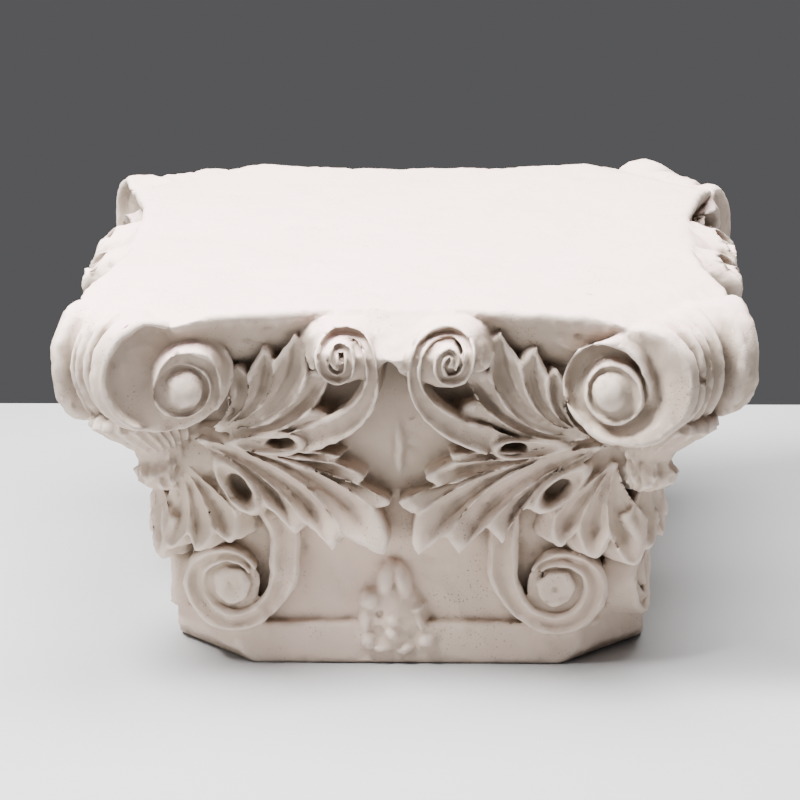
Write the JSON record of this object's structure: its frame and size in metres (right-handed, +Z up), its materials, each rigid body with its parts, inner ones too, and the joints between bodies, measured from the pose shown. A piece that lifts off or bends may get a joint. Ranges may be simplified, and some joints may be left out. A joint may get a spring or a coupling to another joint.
{
  "type": "corinthian capital",
  "caption": "Cast plaster Corinthian capital made as a low square table base, with corner volutes, acanthus leaves, scrolls and a flat concave-sided top.",
  "frame": {"origin": "centre of the underside of the plinth", "axes": "+Z up through the abacus, front face towards -Y, +X to the right of the front face"},
  "size_m": [0.7528, 0.7528, 0.42],
  "materials": {
    "plaster": "matt warm white cast plaster, with grey-brown dirt in the hollows and lighter worn edges"
  },
  "bodies": {
    "root": {"capital": "plaster"}
  },
  "joints": []
}
